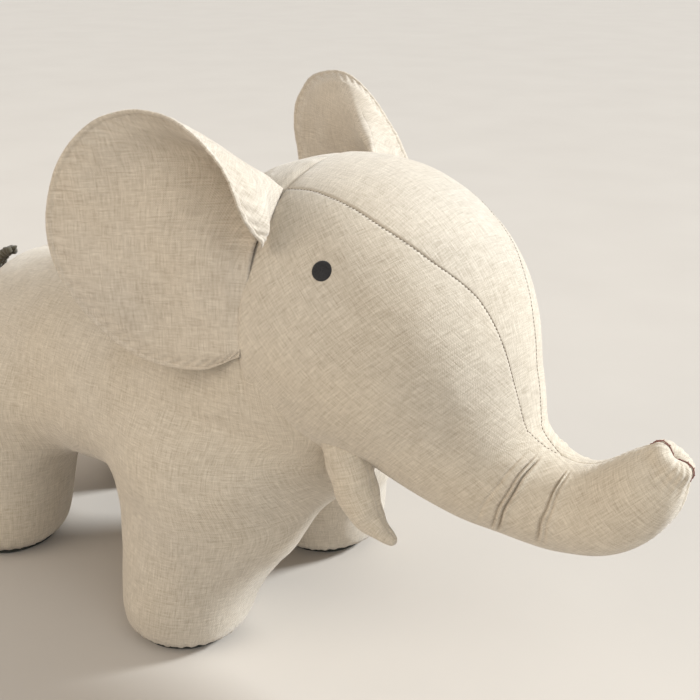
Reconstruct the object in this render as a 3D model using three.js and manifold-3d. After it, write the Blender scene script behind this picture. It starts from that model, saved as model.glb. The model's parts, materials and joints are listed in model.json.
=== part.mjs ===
// A stuffed linen elephant that stands on four stout legs, its trunk curled up at the tip.
// Millimetres. +X is the way it faces, +Y its left side, +Z up. The floor is z = 0.
// The covers are thin shells of cloth, each panel its own piece, and the filling inside them is
// made in portions: head, trunk, torso and legs. The ears, tusks, trunk end and tail are the
// pieces that move.
import * as THREE from "three";
import { ParametricGeometry } from "three/addons/geometries/ParametricGeometry.js";
import { mergeVertices } from "three/addons/utils/BufferGeometryUtils.js";
import Module from "manifold-3d";

// ---- driving dimensions ----
const CLOTH = 1.2; // a cover, with its seam allowance
const GAP = 0.3; // between pieces that touch

const FRONT_FEET_X = -9; // the middle of the front feet, from the middle of the whole length
const WHEELBASE = 193; // front feet to hind feet
const FRONT_TRACK = 150; // left foot to right foot
const HIND_TRACK = 152;

const SOLE_RADIUS = 35;
const SOLE_THICKNESS = 2;
const LEG_RADIUS = 42; // just above the rounded lower edge
const LEG_FLARE = 11; // how much wider a leg is where it meets the body
const LEG_HEIGHT = 92; // to where the shoulder starts to round over
const LEG_TOP = 158; // top of the rounded shoulder, inside the torso
const LEG_LEAN_IN = 24; // the top of a leg stands this much nearer to the middle

const HEAD_RADIUS = 91;
const HEAD_AHEAD = 97; // centre of the head in front of the front feet
const HEAD_HEIGHT = 229;
const NECK_BACK = 27; // the neck seam lies this far behind the centre of the head
const GUSSET_WIDTH = 84; // the panel over the crown, at its widest

const TRUNK_ROOT_RADIUS = 32; // where the trunk bends
const TRUNK_BEND_SLACK = 4; // from the bend's centre to where each cover ends
const TRUNK_KNUCKLE_RADIUS = 24; // round end of the trunk's filling, in the head's filling

const TORSO_RADIUS = 75;
const TORSO_HEIGHT = 152;
const RUMP_RADIUS = 63;
const RUMP_BEHIND = 10; // centre of the rump behind the hind feet
const BELLY_SEAM_HEIGHT = 100;

const EAR_RADIUS = 76;
const EAR_CENTRE_HEIGHT = 279;
const EAR_STAND_OFF = 6; // root of the ear clear of the head
const EAR_WADDING = 3.2;
const EAR_CLOTH = 0.9;
const EAR_FOLD_OPEN = 0.2; // share of an ear's reach where the pad stops short of its root's fold
const EAR_ANGLE = 14; // degrees out from straight back
const EAR_CENTRE_BACK = { right: 55, left: 68 }; // centre of each round ear behind its root
const EAR_HOOD = { right: 14, left: 6 }; // how far the top edge curls over, outwards

const EYE_RADIUS = 5.8;
const EYE_THICKNESS = 1;

const TUSK_RADIUS = 13;
const TUSK_SIDE = 54; // from the middle to the centre of the tusk's root
const TUSK_STAND_OFF = 1.4;

const TAIL_RADIUS = 5.5;
const TAIL_LENGTH = 62;
const TUFT_RADIUS = 9;

// ---- colours ----
const LINEN = { color: 0xc8b8a0, roughness: 0.95, metalness: 0 };
const FILLING = { color: 0xf2f0ea, roughness: 1, metalness: 0 };
const SOLE = { color: 0x2e2f2b, roughness: 0.95, metalness: 0 };
const THREAD = { color: 0x7a4438, roughness: 0.8, metalness: 0 };
const EYE = { color: 0x2d2b2b, roughness: 0.9, metalness: 0 };

const wasm = await Module();
wasm.setup();

const FEET = [
  { name: "front_right", x: FRONT_FEET_X, y: -FRONT_TRACK / 2, forward: 16 },
  { name: "front_left", x: FRONT_FEET_X, y: FRONT_TRACK / 2, forward: 16 },
  { name: "hind_right", x: FRONT_FEET_X - WHEELBASE, y: -HIND_TRACK / 2, forward: -4 },
  { name: "hind_left", x: FRONT_FEET_X - WHEELBASE, y: HIND_TRACK / 2, forward: -4 },
];
const HEAD_X = FRONT_FEET_X + HEAD_AHEAD;
const NECK_X = HEAD_X - NECK_BACK;
const HIND_FEET_X = FRONT_FEET_X - WHEELBASE;
const FAR = 900; // larger than the whole toy

// ---- solids ----

// A closed skin as a solid: shared corners merged, collapsed triangles dropped, facing out.
function solidOf(geometry) {
  const plain = geometry.clone();
  plain.deleteAttribute("normal");
  plain.deleteAttribute("uv");
  const merged = mergeVertices(plain, 1e-3);
  const corners = merged.attributes.position.array;
  const kept = [];
  for (let i = 0; i < merged.index.count; i += 3) {
    const [a, b, c] = merged.index.array.subarray(i, i + 3);
    if (a !== b && b !== c && c !== a) kept.push(a, b, c);
  }
  if (enclosed(corners, kept) < 0) {
    for (let i = 0; i < kept.length; i += 3) {
      [kept[i + 1], kept[i + 2]] = [kept[i + 2], kept[i + 1]];
    }
  }
  const mesh = new wasm.Mesh({
    numProp: 3,
    vertProperties: corners,
    triVerts: new Uint32Array(kept),
  });
  mesh.merge();
  return new wasm.Manifold(mesh);
}

// Six times the volume inside a skin, negative when its faces point in.
function enclosed(corners, triangles) {
  const point = (i) => new THREE.Vector3().fromArray(corners, 3 * i);
  let sum = 0;
  for (let i = 0; i < triangles.length; i += 3) {
    const [a, b, c] = [0, 1, 2].map((k) => point(triangles[i + k]));
    sum += a.dot(b.cross(c));
  }
  return sum;
}

function geometryOf(solid) {
  const mesh = solid.getMesh();
  const geometry = new THREE.BufferGeometry();
  geometry.setAttribute("position", new THREE.BufferAttribute(mesh.vertProperties, 3));
  geometry.setIndex(new THREE.BufferAttribute(mesh.triVerts, 1));
  geometry.computeVertexNormals();
  return geometry;
}

function box(x0, x1, y0, y1, z0, z1) {
  const geometry = new THREE.BoxGeometry(x1 - x0, y1 - y0, z1 - z0);
  geometry.translate((x0 + x1) / 2, (y0 + y1) / 2, (z0 + z1) / 2);
  return solidOf(geometry);
}

const rightOf = (y) => box(-FAR, FAR, -FAR, y, -FAR, FAR);
const leftOf = (y) => box(-FAR, FAR, y, FAR, -FAR, FAR);
const aheadOf = (x) => box(x, FAR, -FAR, FAR, -FAR, FAR);
const behind = (x) => box(-FAR, x, -FAR, FAR, -FAR, FAR);

// A spine in the plane y = side, through points { x, z, r, w }: r is the radius of the ball that
// runs along it, and w makes the ball wider than it is high.
class Spine {
  constructor(points) {
    this.path = new THREE.CatmullRomCurve3(
      points.map((p) => new THREE.Vector3(p.x, 0, p.z)),
      false,
      "centripetal",
    );
    this.size = new THREE.CatmullRomCurve3(
      points.map((p) => new THREE.Vector3(p.r, p.w ?? 1, 0)),
      false,
      "centripetal",
    );
  }

  // The ball at `share` of the way along the spine's length.
  at(share) {
    const t = this.path.getUtoTmapping(share);
    const step = 1e-3;
    const t0 = Math.max(0, t - step);
    const t1 = Math.min(1, t + step);
    const run = this.path.getPoint(t1).sub(this.path.getPoint(t0));
    const length = run.length();
    const slope = (this.size.getPoint(t1).x - this.size.getPoint(t0).x) / length;
    const size = this.size.getPoint(t);
    return {
      centre: this.path.getPoint(t),
      along: run.divideScalar(length),
      slope: THREE.MathUtils.clamp(slope, -0.97, 0.97),
      radius: size.x,
      wide: size.y,
    };
  }
}

// The skin of a ball that runs along a spine, grown by `offset`, with a round end on each side.
function sweptBall(spine, { offset = 0, side = 0, around = 18, along = 12, cap = 3 } = {}) {
  const rows = along + 2 * cap;
  const ring = (row, turn, target) => {
    const share = THREE.MathUtils.clamp((row - cap) / along, 0, 1);
    const { centre, along: axis, slope, radius, wide } = spine.at(share);
    const r = radius + offset;
    let lift = Math.asin(-slope);
    if (row < cap) lift = THREE.MathUtils.lerp(-Math.PI / 2, lift, row / cap);
    if (row > rows - cap) lift = THREE.MathUtils.lerp(lift, Math.PI / 2, (row - rows + cap) / cap);
    const out = r * Math.cos(lift);
    const widen = wide + (offset * (1 - wide)) / r;
    target.copy(centre).addScaledVector(axis, r * Math.sin(lift));
    target.x -= axis.z * out * Math.cos(turn);
    target.z += axis.x * out * Math.cos(turn);
    target.y = side + out * widen * Math.sin(turn);
  };
  return solidOf(
    new ParametricGeometry(
      (u, v, target) => ring(Math.round(v * rows), 2 * Math.PI * u, target),
      around,
      rows,
    ),
  );
}

// ---- head and trunk ----

// One spine for both: the ball of the head, then the trunk down, forward and up to its tip.
const TRUNK_BEND = { ahead: 114, below: 85 }; // from the centre of the head
const HEAD_SPINE = new Spine(
  [
    { ahead: -37, below: 5, r: HEAD_RADIUS - 2 },
    { ahead: 0, below: 0, r: HEAD_RADIUS },
    { ahead: 50, below: 36, r: HEAD_RADIUS * 0.7 },
    { ahead: 84, below: 72, r: TRUNK_ROOT_RADIUS + 10 },
    { ahead: TRUNK_BEND.ahead, below: TRUNK_BEND.below, r: TRUNK_ROOT_RADIUS },
    { ahead: 141, below: 89, r: TRUNK_ROOT_RADIUS - 4 },
    { ahead: 165, below: 83, r: TRUNK_ROOT_RADIUS - 6 },
    { ahead: 185, below: 65, r: TRUNK_ROOT_RADIUS - 10 },
    { ahead: 197, below: 48, r: TRUNK_ROOT_RADIUS - 17, w: 1.2 },
  ].map((p) => ({ x: HEAD_X + p.ahead, z: HEAD_HEIGHT - p.below, r: p.r, w: p.w })),
);
const BEND = new THREE.Vector3(HEAD_X + TRUNK_BEND.ahead, 0, HEAD_HEIGHT - TRUNK_BEND.below);
const BEND_AXIS = new THREE.Vector3(30, 0, -10).normalize(); // along the trunk at its bend

// The half space past a plane square to the trunk, `distance` beyond the bend's centre. Only the
// trunk lies in the block that stands for it, so it leaves the head alone.
function trunkBeyond(distance) {
  const reach = 150;
  const geometry = new THREE.BoxGeometry(reach, reach, reach);
  geometry.translate(reach / 2 + distance, 0, 0);
  geometry.rotateY(-Math.atan2(BEND_AXIS.z, BEND_AXIS.x));
  geometry.translate(BEND.x, BEND.y, BEND.z);
  return solidOf(geometry);
}

function ball(centre, radius) {
  const geometry = new THREE.SphereGeometry(radius, 16, 10);
  geometry.translate(centre.x, centre.y, centre.z);
  return solidOf(geometry);
}

const headAndTrunk = (offset) =>
  sweptBall(HEAD_SPINE, { offset, around: 20, along: 15, cap: 4 });

const wholeHead = headAndTrunk(0);
const headHollow = headAndTrunk(-CLOTH);
const headFilling = headAndTrunk(-CLOTH - GAP);
const headAhead = aheadOf(NECK_X + GAP / 2);
const trunkBlock = trunkBeyond(TRUNK_BEND_SLACK);
const trunkSpace = trunkBeyond(-TRUNK_BEND_SLACK);

// The panel over the crown: a leaf that narrows to a point where the trunk starts.
function gussetLeaf(grow) {
  const half = GUSSET_WIDTH / 2 + grow;
  const tip = HEAD_X + TRUNK_BEND.ahead * 1.2 + grow;
  const shoulder = HEAD_X + HEAD_RADIUS * 0.45;
  const outline = new THREE.Shape();
  outline.moveTo(HEAD_X - HEAD_RADIUS, -half);
  outline.lineTo(shoulder, -half);
  outline.quadraticCurveTo(HEAD_X + HEAD_RADIUS, -half, HEAD_X + HEAD_RADIUS * 1.15, -half * 0.42);
  outline.lineTo(tip, -grow - 1);
  outline.lineTo(tip, grow + 1);
  outline.lineTo(HEAD_X + HEAD_RADIUS * 1.15, half * 0.42);
  outline.quadraticCurveTo(HEAD_X + HEAD_RADIUS, half, shoulder, half);
  outline.lineTo(HEAD_X - HEAD_RADIUS, half);
  const depth = 2 * HEAD_RADIUS;
  const geometry = new THREE.ExtrudeGeometry(outline, { depth, bevelEnabled: false, curveSegments: 6 });
  geometry.translate(0, 0, HEAD_HEIGHT - HEAD_RADIUS * 0.72);
  return solidOf(geometry);
}

const headShell = wholeHead.subtract(headHollow).intersect(headAhead).subtract(trunkSpace);
const trunkShell = wholeHead.subtract(headHollow).intersect(trunkBlock);
const headSides = headShell.subtract(gussetLeaf(GAP / 2));

// ---- torso and legs ----

const TORSO_SPINE = new Spine([
  { x: HIND_FEET_X - RUMP_BEHIND, z: TORSO_HEIGHT, r: RUMP_RADIUS, w: 1.2 },
  { x: HIND_FEET_X + WHEELBASE * 0.43, z: TORSO_HEIGHT, r: TORSO_RADIUS, w: 1.15 },
  { x: FRONT_FEET_X - WHEELBASE * 0.2, z: TORSO_HEIGHT + 8, r: TORSO_RADIUS + 4, w: 1.12 },
  { x: FRONT_FEET_X + 12, z: (TORSO_HEIGHT * 2 + HEAD_HEIGHT) / 3 + 4, r: TORSO_RADIUS + 10, w: 1.05 },
  { x: NECK_X - 14, z: HEAD_HEIGHT - 12, r: HEAD_RADIUS - 3 },
  { x: NECK_X + 6, z: HEAD_HEIGHT, r: HEAD_RADIUS - 6 },
]);
const CHEST_SPINE = new Spine([
  { x: FRONT_FEET_X - 30, z: TORSO_HEIGHT - 2, r: TORSO_RADIUS - 5, w: 1.15 },
  { x: FRONT_FEET_X + 38, z: TORSO_HEIGHT - 2, r: TORSO_RADIUS - 10, w: 1.15 },
]);
const FLANK_SPINE = new Spine([
  { x: HIND_FEET_X + 30, z: TORSO_HEIGHT - 20, r: 42 },
  { x: FRONT_FEET_X, z: TORSO_HEIGHT - 20, r: 43 },
]);

const LEG_BOTTOM = SOLE_THICKNESS + GAP;

// A leg is turned about its own axis, then sheared so that it leans inwards.
function leg(foot, offset, bottom) {
  const radiusAt = (z) => {
    const rounded = (LEG_RADIUS - SOLE_RADIUS) * Math.exp(-z / 7);
    const flare = LEG_FLARE * THREE.MathUtils.smoothstep(z, 20, LEG_HEIGHT);
    const over = Math.max(0, (z - LEG_HEIGHT) / (LEG_TOP - LEG_HEIGHT));
    return (LEG_RADIUS - rounded + flare + offset) * Math.sqrt(1 - over * over);
  };
  const profile = [new THREE.Vector2(0, bottom), new THREE.Vector2(radiusAt(LEG_BOTTOM), bottom)];
  const straight = 5;
  for (let i = bottom < LEG_BOTTOM ? 0 : 1; i <= straight; i += 1) {
    const z = THREE.MathUtils.lerp(LEG_BOTTOM, LEG_HEIGHT, (i / straight) ** 1.5);
    profile.push(new THREE.Vector2(radiusAt(z), z));
  }
  for (const turn of [25, 50, 70]) {
    const z = LEG_HEIGHT + (LEG_TOP - LEG_HEIGHT) * Math.sin(THREE.MathUtils.degToRad(turn));
    profile.push(new THREE.Vector2(radiusAt(z), z));
  }
  profile.push(new THREE.Vector2(0, LEG_TOP + offset));
  const geometry = new THREE.LatheGeometry(profile, 14);
  geometry.rotateX(Math.PI / 2);
  const lean = new THREE.Matrix4().set(
    1, 0, foot.forward / LEG_TOP, foot.x,
    0, 1, (-Math.sign(foot.y) * LEG_LEAN_IN) / LEG_TOP, foot.y,
    0, 0, 1, 0,
    0, 0, 0, 1,
  );
  geometry.applyMatrix4(lean);
  return solidOf(geometry);
}

function wholeTorso(offset) {
  const torso = sweptBall(TORSO_SPINE, { offset, along: 9 });
  return [
    sweptBall(CHEST_SPINE, { offset, around: 16, along: 1 }),
    sweptBall(FLANK_SPINE, { offset, side: 48, around: 14, along: 1 }),
    sweptBall(FLANK_SPINE, { offset, side: -48, around: 14, along: 1 }),
  ].reduce((sum, part) => sum.add(part), torso.intersect(behind(NECK_X + 2)));
}

const headRoom = headAndTrunk(GAP).intersect(aheadOf(NECK_X - GAP));
const legs = (offset, bottom) => FEET.map((foot) => leg(foot, offset, bottom));
const joined = (parts, first) => parts.reduce((sum, part) => sum.add(part), first);

const bodyOuter = joined(legs(0, LEG_BOTTOM), wholeTorso(0)).subtract(headRoom);
const bodyHollow = joined(legs(-CLOTH, LEG_BOTTOM - 5), wholeTorso(-CLOTH)).add(
  sweptBall(TORSO_SPINE, { offset: -CLOTH, along: 9 }),
);
const bodyShell = bodyOuter.subtract(bodyHollow);
const torsoFilling = wholeTorso(-CLOTH - GAP).subtract(headRoom);
const torsoRoom = wholeTorso(-CLOTH);

// The under panel takes in the belly and the inner half of each leg.
function underPanel(grow) {
  const half = FRONT_TRACK / 2 + grow;
  return box(-FAR, FAR, -half, half, -FAR, BELLY_SEAM_HEIGHT + grow);
}

const bodySides = bodyShell.subtract(underPanel(GAP / 2));

// ---- ears ----

// An ear is a round pad. Its root follows the neck seam up the side of the head to the fold at
// the top, then turns back down, so the top edge curls outwards like a hood.
class Ear {
  constructor(side) {
    this.sign = side === "right" ? -1 : 1;
    this.angle = THREE.MathUtils.degToRad(EAR_ANGLE);
    this.back = EAR_CENTRE_BACK[side];
    this.hood = EAR_HOOD[side];
    const rootTop = this.onHead(58, -4);
    this.root = new THREE.CatmullRomCurve3(
      [
        this.onHead(-8, 2),
        this.onHead(18, 2),
        this.onHead(40, 1),
        rootTop,
        this.onHead(50, 9),
        this.onHead(38, 11),
      ],
      false,
      "centripetal",
    );
    const rim = [this.onHead(-8, 2)];
    for (let turn = -105; turn <= 95; turn += 25) rim.push(this.onRim(turn, 0));
    rim.push(this.onRim(118, this.hood * 0.6));
    rim.push(this.onRim(142, this.hood));
    rim.push(this.onRim(162, this.hood));
    rim.push(this.onHead(38, 11));
    this.rim = new THREE.CatmullRomCurve3(rim, false, "centripetal");
  }

  // A point beside the neck seam, `climb` degrees up from the level of the head's centre.
  onHead(climb, ahead) {
    const seam = Math.sqrt(HEAD_RADIUS ** 2 - (NECK_BACK - ahead) ** 2) + EAR_STAND_OFF;
    const rise = THREE.MathUtils.degToRad(climb);
    return new THREE.Vector3(
      NECK_X + ahead,
      this.sign * seam * Math.cos(rise),
      HEAD_HEIGHT + seam * Math.sin(rise),
    );
  }

  // A point on the round edge, `turn` degrees up from straight back, `out` from the pad's plane.
  onRim(turn, out) {
    const a = THREE.MathUtils.degToRad(turn);
    const back = this.back + EAR_RADIUS * Math.cos(a);
    const level = EAR_CENTRE_HEIGHT + EAR_RADIUS * Math.sin(a);
    const [c, s] = [Math.cos(this.angle), Math.sin(this.angle)];
    return new THREE.Vector3(
      NECK_X + 2 - back * c + out * s,
      this.sign * (HEAD_RADIUS - 1 + EAR_STAND_OFF + back * s + out * c),
      level,
    );
  }

  // The middle of the pad: t runs along the root and the rim, v from root to rim.
  middle(t, v) {
    const rootAt = t < 0.72 ? (t / 0.72) * 0.6 : 0.6 + ((t - 0.72) / 0.28) * 0.4;
    return this.root.getPoint(rootAt).lerp(this.rim.getPoint(t), v);
  }

  // 1 at the fold where the root turns back down, fading to 0 on each side of it.
  nearFold(t) {
    return Math.exp(-(((t - 0.67) / 0.08) ** 2));
  }

  // A layer between two heights over the middle, both given as functions of t and v.
  layer(low, high, across = 8, along = 24) {
    const step = 0.02;
    const squareAt = 0.7; // the thickness is square to the pad here, all along a line root to rim
    const point = (t, v, height, target) => {
      const ahead = this.middle(Math.min(1, t + step), squareAt);
      const alongEar = ahead.sub(this.middle(Math.max(0, t - step), squareAt));
      const outward = this.middle(t, 1).sub(this.middle(t, 0));
      const up = alongEar.cross(outward);
      const length = up.length();
      target.copy(this.middle(t, v));
      if (length > 1e-6) target.addScaledVector(up, (-this.sign * height) / length);
    };
    const loop = 2 * across + 2;
    const rows = along + 2;
    return solidOf(
      new ParametricGeometry(
        (u, v, target) => {
          const row = Math.round(v * rows);
          const k = Math.round(u * loop) % loop;
          const top = k <= across;
          const share = (top ? k : loop - 1 - k) / across;
          const run = THREE.MathUtils.clamp((row - 1) / along, 0, 1);
          const t = THREE.MathUtils.lerp(0.03, 0.97, run);
          const out = THREE.MathUtils.lerp(0.02 + EAR_FOLD_OPEN * this.nearFold(t), 1, share);
          const closing = row === 0 || row === rows;
          if (closing) point(t, 0.5, (high(t, 0.5) + low(t, 0.5)) / 2, target);
          else point(t, out, top ? high(t, out) : low(t, out), target);
        },
        loop,
        rows,
      ),
    );
  }
}

// Half the wadding's thickness: full in the middle, thin at the edges and under the hood.
function earPuff(t, v) {
  const edge = Math.min(1, 4 * v * (1 - v) + 0.1, 6 * t * (1 - t));
  const underHood = THREE.MathUtils.lerp(1, 0.35, THREE.MathUtils.smoothstep(t, 0.55, 0.8));
  return (EAR_WADDING / 2) * edge * underHood;
}

function earLayers(side) {
  const ear = new Ear(side);
  const inner = (t, v) => earPuff(t, v) + 2 * GAP;
  const outer = (t, v) => inner(t, v) + EAR_CLOTH;
  const room = (t, v) => inner(t, v) - GAP;
  const below = (height) => (t, v) => -height(t, v);
  return {
    front: ear.layer(inner, outer),
    back: ear.layer(below(outer), below(inner)),
    wadding: ear
      .layer(below(earPuff), earPuff)
      .subtract(ear.layer(room, outer))
      .subtract(ear.layer(below(outer), below(room))),
  };
}

// ---- small pieces ----

// A flat round eye, lying on the head where the line out from its centre leaves the cloth.
function eye(sign) {
  const outward = new THREE.Vector3(0.271, sign * 0.825, 0.495).normalize();
  const geometry = new THREE.CylinderGeometry(EYE_RADIUS, EYE_RADIUS, EYE_THICKNESS, 16);
  geometry.translate(0, HEAD_RADIUS + GAP + 0.2 + EYE_THICKNESS / 2, 0);
  geometry.applyQuaternion(new THREE.Quaternion().setFromUnitVectors(new THREE.Vector3(0, 1, 0), outward));
  geometry.translate(HEAD_X, 0, HEAD_HEIGHT);
  return solidOf(geometry);
}

// A tusk: a small horn with a round root just under the cheek, that curves down and forward.
const TUSK_ROOT = { ahead: 26, below: 86 };
const TUSK_SPINE = new Spine(
  [
    { ahead: 0, below: 0, r: TUSK_RADIUS * 0.72 },
    { ahead: 4, below: 10, r: TUSK_RADIUS * 0.96 },
    { ahead: 12, below: 24, r: TUSK_RADIUS * 0.66 },
    { ahead: 26, below: 33, r: TUSK_RADIUS * 0.28 },
  ].map((p) => ({
    x: HEAD_X + TUSK_ROOT.ahead + p.ahead,
    z: HEAD_HEIGHT - TUSK_ROOT.below - TUSK_STAND_OFF - p.below,
    r: p.r,
  })),
);

function tusk(sign, offset) {
  return sweptBall(TUSK_SPINE, { offset, side: sign * TUSK_SIDE, around: 10, along: 5, cap: 2 });
}

function tuskCover(sign) {
  const open = TUSK_RADIUS * 0.5;
  const rootTop = HEAD_HEIGHT - TUSK_ROOT.below - TUSK_STAND_OFF + open;
  const side = sign * TUSK_SIDE;
  const mouth = box(0, FAR, side - FAR, side + FAR, rootTop, FAR);
  return tusk(sign, 0).subtract(tusk(sign, -CLOTH)).subtract(mouth);
}

const TAIL_ROOT = {
  x: HIND_FEET_X - RUMP_BEHIND - RUMP_RADIUS * 0.86,
  z: TORSO_HEIGHT + RUMP_RADIUS * 0.72,
};
const tailPoint = (share) => ({
  x: TAIL_ROOT.x - TAIL_RADIUS - 2 - 22 * Math.sin((Math.PI / 2) * share),
  z: TAIL_ROOT.z - TAIL_LENGTH * share ** 1.4,
});
const TAIL_SPINE = new Spine(
  [0, 0.3, 0.6, 0.86].map((share) => ({ ...tailPoint(share), r: TAIL_RADIUS * (1 - 0.3 * share) })),
);
const TUFT_SPINE = new Spine([
  { ...tailPoint(1.03), r: TUFT_RADIUS * 0.75 },
  { ...tailPoint(1.25), r: TUFT_RADIUS },
]);

function tail(offset) {
  return sweptBall(TAIL_SPINE, { offset, around: 8, along: 5, cap: 2 });
}

function tailCover() {
  const mouth = box(TAIL_ROOT.x - TAIL_RADIUS - 1, FAR, -FAR, FAR, -FAR, FAR);
  return tail(0).subtract(tail(-CLOTH)).subtract(mouth);
}

// The hand-sewn closing stitch that runs across the blunt end of the trunk.
function tipStitch() {
  const end = HEAD_SPINE.at(1);
  const out = end.radius + CLOTH / 2 + GAP;
  const across = new THREE.Vector3(-end.along.z, 0, end.along.x);
  const points = [-1.1, -0.6, 0, 0.6, 1.1].map((turn) =>
    end.centre
      .clone()
      .addScaledVector(end.along, out * Math.cos(turn))
      .addScaledVector(across, out * Math.sin(turn)),
  );
  const section = new THREE.Shape();
  section.absarc(0, 0, CLOTH / 2, 0, 2 * Math.PI);
  const geometry = new THREE.ExtrudeGeometry(section, {
    extrudePath: new THREE.CatmullRomCurve3(points),
    steps: 8,
    curveSegments: 4,
  });
  return solidOf(geometry);
}

function sole(foot) {
  const geometry = new THREE.CylinderGeometry(SOLE_RADIUS, SOLE_RADIUS - 0.5, SOLE_THICKNESS, 20);
  geometry.rotateX(Math.PI / 2);
  geometry.translate(foot.x, foot.y, SOLE_THICKNESS / 2);
  return solidOf(geometry);
}

// ---- the toy ----

const group = new THREE.Group();
group.name = "stuffed_elephant";

// The one body of a piece, without the crumbs that a cut can leave beside it.
function body(solid) {
  return solid.decompose().reduce((most, part) => (part.volume() > most.volume() ? part : most));
}

function put(name, solid, look) {
  const mesh = new THREE.Mesh(geometryOf(body(solid)), new THREE.MeshStandardMaterial(look));
  mesh.name = name;
  group.add(mesh);
}

const SIDES = [
  { name: "right", sign: -1, half: rightOf(-GAP / 2) },
  { name: "left", sign: 1, half: leftOf(GAP / 2) },
];

put("head_gusset", headShell.intersect(gussetLeaf(-GAP / 2)), LINEN);
put("belly_panel", bodyShell.intersect(underPanel(-GAP / 2)), LINEN);
for (const { name, sign, half } of SIDES) {
  put(`head_panel_${name}`, headSides.intersect(half), LINEN);
  put(`trunk_panel_${name}`, trunkShell.intersect(half), LINEN);
  put(`body_panel_${name}`, bodySides.intersect(half), LINEN);
  const ear = earLayers(name);
  put(`ear_${name}_front`, ear.front, LINEN);
  put(`ear_${name}_back`, ear.back, LINEN);
  put(`ear_${name}_wadding`, ear.wadding, FILLING);
  put(`eye_${name}`, eye(sign), EYE);
  put(`tusk_${name}_cover`, tuskCover(sign), LINEN);
  put(`tusk_${name}_filling`, tusk(sign, -CLOTH - GAP), FILLING);
}

const knuckle = ball(BEND, TRUNK_KNUCKLE_RADIUS);
const knuckleRoom = ball(BEND, TRUNK_KNUCKLE_RADIUS + 2 * GAP);
const ballFilling = headFilling.intersect(aheadOf(NECK_X + GAP)).subtract(trunkSpace);
put("head_filling", ballFilling.subtract(knuckleRoom), FILLING);
put("trunk_filling", headFilling.intersect(trunkBlock).add(knuckle), FILLING);
put("trunk_tip_stitch", tipStitch(), THREAD);
put("torso_filling", torsoFilling, FILLING);
for (const foot of FEET) {
  put(`leg_filling_${foot.name}`, leg(foot, -CLOTH - GAP, LEG_BOTTOM).subtract(torsoRoom), FILLING);
  put(`sole_${foot.name}`, sole(foot), SOLE);
}
put("tail_cover", tailCover(), LINEN);
put("tail_filling", tail(-CLOTH - GAP), FILLING);
put("tail_tuft", sweptBall(TUFT_SPINE, { around: 10, along: 1, cap: 2 }), SOLE);

export default group;
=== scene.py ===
import json
import math

import bmesh
import bpy
import numpy as np
from mathutils import Matrix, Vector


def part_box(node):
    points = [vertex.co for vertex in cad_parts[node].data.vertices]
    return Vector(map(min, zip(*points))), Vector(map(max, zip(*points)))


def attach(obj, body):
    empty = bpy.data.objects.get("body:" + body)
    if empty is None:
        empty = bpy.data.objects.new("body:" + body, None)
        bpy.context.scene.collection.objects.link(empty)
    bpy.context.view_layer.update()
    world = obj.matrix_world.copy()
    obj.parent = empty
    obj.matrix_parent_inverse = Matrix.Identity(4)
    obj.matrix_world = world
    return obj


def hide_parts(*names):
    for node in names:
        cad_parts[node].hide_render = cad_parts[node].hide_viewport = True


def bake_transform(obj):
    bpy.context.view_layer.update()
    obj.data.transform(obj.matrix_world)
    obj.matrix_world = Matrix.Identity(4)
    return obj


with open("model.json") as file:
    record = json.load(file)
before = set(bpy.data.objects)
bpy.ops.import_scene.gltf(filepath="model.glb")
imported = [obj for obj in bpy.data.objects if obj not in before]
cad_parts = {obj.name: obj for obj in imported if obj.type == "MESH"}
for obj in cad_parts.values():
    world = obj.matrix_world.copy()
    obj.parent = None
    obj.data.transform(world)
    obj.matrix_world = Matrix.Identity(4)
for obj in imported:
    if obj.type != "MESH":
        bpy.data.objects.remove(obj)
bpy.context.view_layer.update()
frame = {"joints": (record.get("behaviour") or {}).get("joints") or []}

MM = 0.001
RIGHT, LEFT = -1, 1
SIDES = {"right": RIGHT, "left": LEFT}
ROOT = "torso_and_head"

JOINT = {joint["name"]: np.array(joint["pos_m"]) / MM for joint in frame["joints"]}
BEND = JOINT["trunk_bend"]


def middle_of(node):
    """The middle of a frame node's box, in millimetres."""
    low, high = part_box(node)
    return (np.array(low) + np.array(high)) / 2 / MM


# ---- driving dimensions, in millimetres ----
HEAD = BEND + np.array([-114, 0, 85])  # the centre of the head's ball
HEAD_RADIUS = 91
FEET = {
    name: middle_of("sole_" + name)
    for name in ("front_right", "front_left", "hind_right", "hind_left")
}
FRONT_X = FEET["front_right"][0]
HIND_X = FEET["hind_right"][0]
SOLE_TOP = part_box("sole_front_right")[1][2] / MM


# ---- curves ----


def natural_cubic(knots, values, t):
    """The natural cubic spline through values at knots, worked out at every t."""
    knots = np.asarray(knots, float)
    values = np.asarray(values, float).reshape(len(knots), -1)
    gap = np.diff(knots)
    slope = np.diff(values, axis=0) / gap[:, None]
    inner = np.arange(1, len(knots) - 1)
    system = np.eye(len(knots))
    system[inner, inner - 1] = gap[:-1]
    system[inner, inner] = 2 * (gap[:-1] + gap[1:])
    system[inner, inner + 1] = gap[1:]
    right = np.zeros_like(values)
    right[inner] = 6 * np.diff(slope, axis=0)
    bend = np.linalg.solve(system, right)
    t = np.asarray(t, float)
    i = np.clip(np.searchsorted(knots, t, side="right") - 1, 0, len(gap) - 1)
    a = ((knots[i + 1] - t) / gap[i])[..., None]
    b = ((t - knots[i]) / gap[i])[..., None]
    curved = (a**3 - a) * bend[i] + (b**3 - b) * bend[i + 1]
    return a * values[i] + b * values[i + 1] + curved * (gap[i] ** 2)[..., None] / 6


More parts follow.
